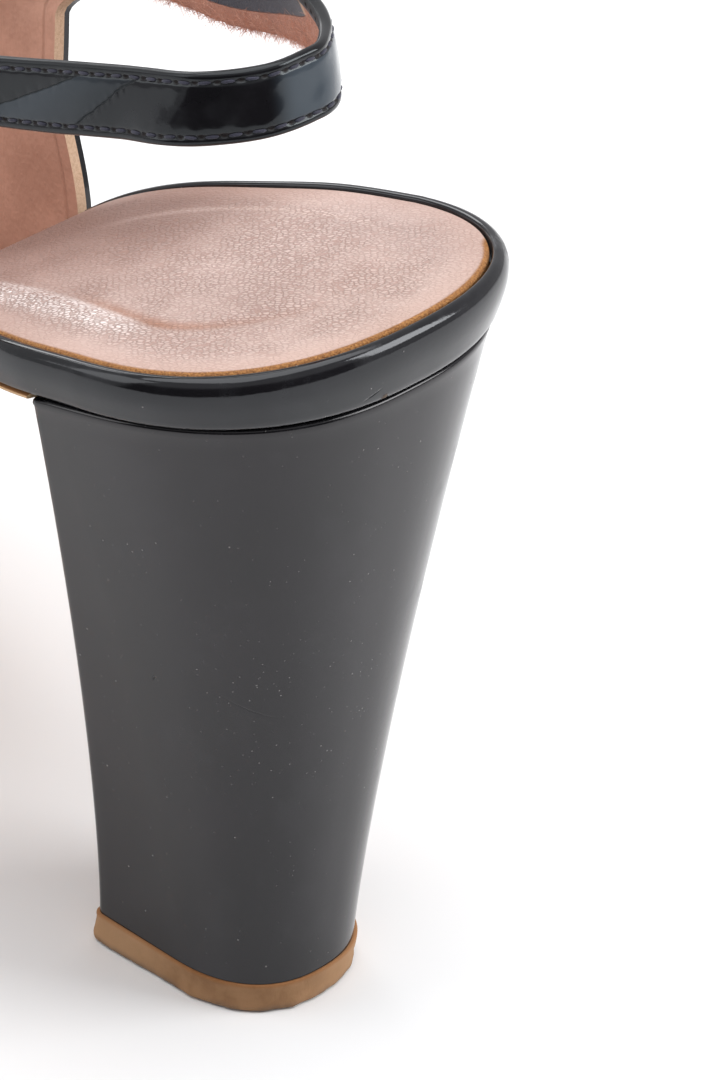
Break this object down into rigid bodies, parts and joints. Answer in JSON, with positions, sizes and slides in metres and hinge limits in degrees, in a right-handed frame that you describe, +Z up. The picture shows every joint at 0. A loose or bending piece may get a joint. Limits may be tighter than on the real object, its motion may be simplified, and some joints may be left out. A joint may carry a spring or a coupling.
{
  "type": "slingback block-heel shoe",
  "caption": "High block-heel slingback pump: hollow patent-leather upper, slack heel strap, covered seat rim, nude insole, thin leather sole and a tan heel tip.",
  "frame": {"origin": "on the floor under the middle of the whole shoe's box", "axes": "+X from heel to toe, +Y to the shoe's left, which is its inner side, +Z up; the shoe stands on z = 0"},
  "size_m": [0.2342, 0.0792, 0.1215],
  "materials": {
    "patent_leather": "black-blue patent gloss outside, nude lining inside",
    "strap_leather": "black-blue patent gloss, stitched, nude lining",
    "rim_leather": "patent gloss",
    "insole_leather": "fine-grained nude leather with light wear",
    "heel_cover": "charcoal patent gloss with fine dust",
    "tip_rubber": "matte tan, worn",
    "sole_leather": "smooth tan leather"
  },
  "bodies": {
    "root": {"upper": "patent_leather", "sling_strap": "strap_leather", "rim_board": "rim_leather", "insole": "insole_leather", "heel_block": "heel_cover", "heel_tip": "tip_rubber", "outsole": "sole_leather"}
  },
  "joints": []
}
